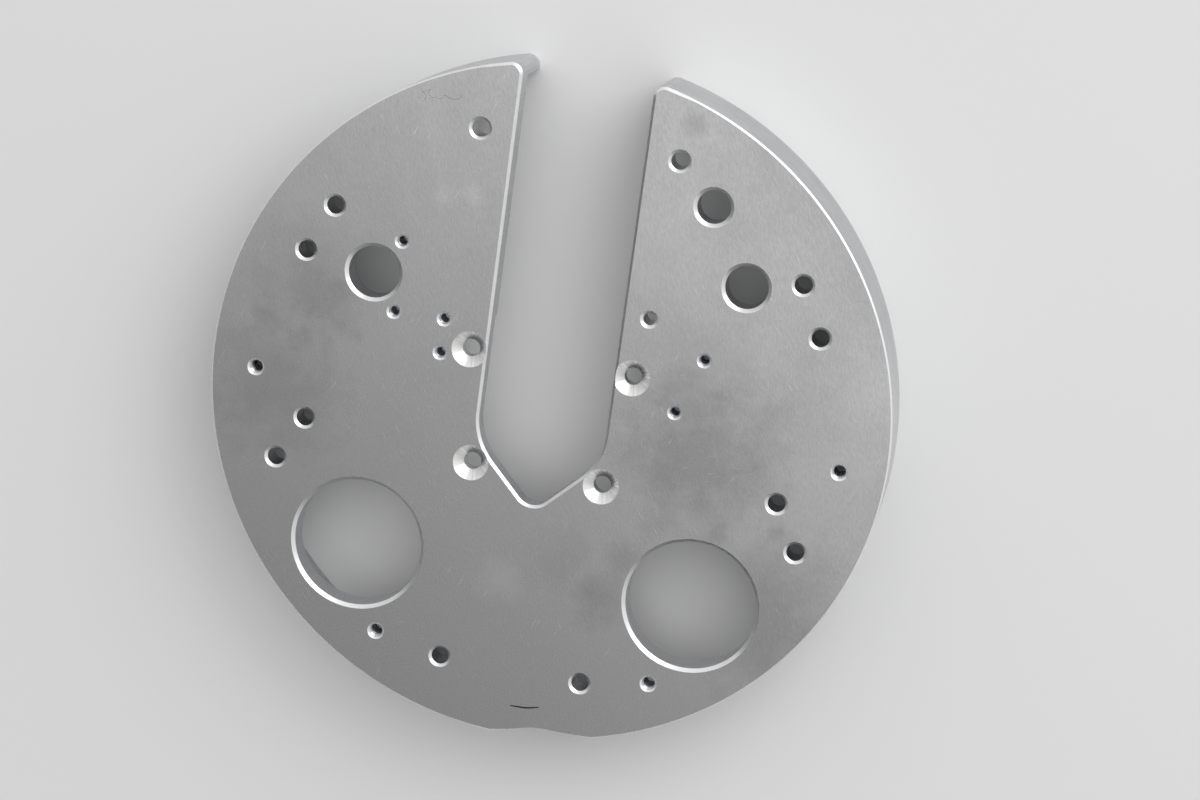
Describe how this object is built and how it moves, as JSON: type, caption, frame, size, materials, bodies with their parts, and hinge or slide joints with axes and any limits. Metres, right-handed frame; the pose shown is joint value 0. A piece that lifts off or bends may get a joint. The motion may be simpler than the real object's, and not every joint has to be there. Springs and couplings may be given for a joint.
{
  "type": "slotted cover disc",
  "caption": "Round machined aluminium cover, dished at the back, with a wide V-ended slot open at the rim, bores, countersinks and tapped holes.",
  "frame": {"origin": "on the disc's axis, in the plane of the skirt's back edge", "axes": "+Z through the web to the front face, +Y along the slot to its open mouth, +X to the right of it seen from the front"},
  "size_m": [0.25, 0.2467, 0.03],
  "materials": {
    "machined_aluminium": "milled, bare"
  },
  "bodies": {
    "root": {"slotted_cover": "machined_aluminium"}
  },
  "joints": []
}
